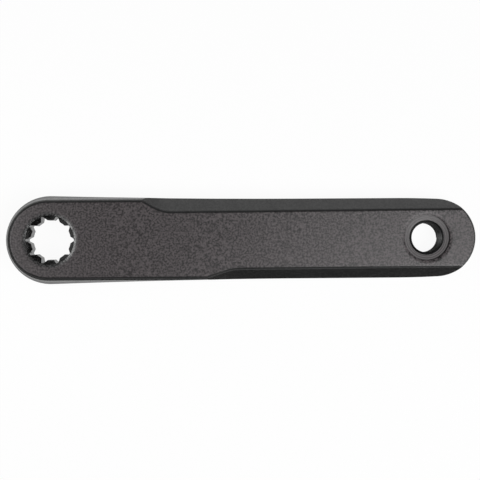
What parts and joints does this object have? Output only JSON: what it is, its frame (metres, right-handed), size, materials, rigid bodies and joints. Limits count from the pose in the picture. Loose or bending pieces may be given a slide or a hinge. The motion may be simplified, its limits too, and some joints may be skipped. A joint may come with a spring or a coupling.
{
  "type": "bicycle crank arm",
  "caption": "Flat black bicycle crank arm with a splined, tapered spindle socket at one end, a threaded pedal eye at the other and long bevels along its inner face.",
  "frame": {"origin": "where the spindle axis meets the plane of the arm's inner face", "axes": "+X along the arm from the spindle axis to the pedal axis, +Z out of the inner face towards the bicycle, along the spindle axis"},
  "size_m": [0.2056, 0.0386, 0.019],
  "materials": {
    "black_anodised": "fine-blasted and black anodised, semi-matt"
  },
  "bodies": {
    "root": {"crank_arm": "black_anodised"}
  },
  "joints": []
}
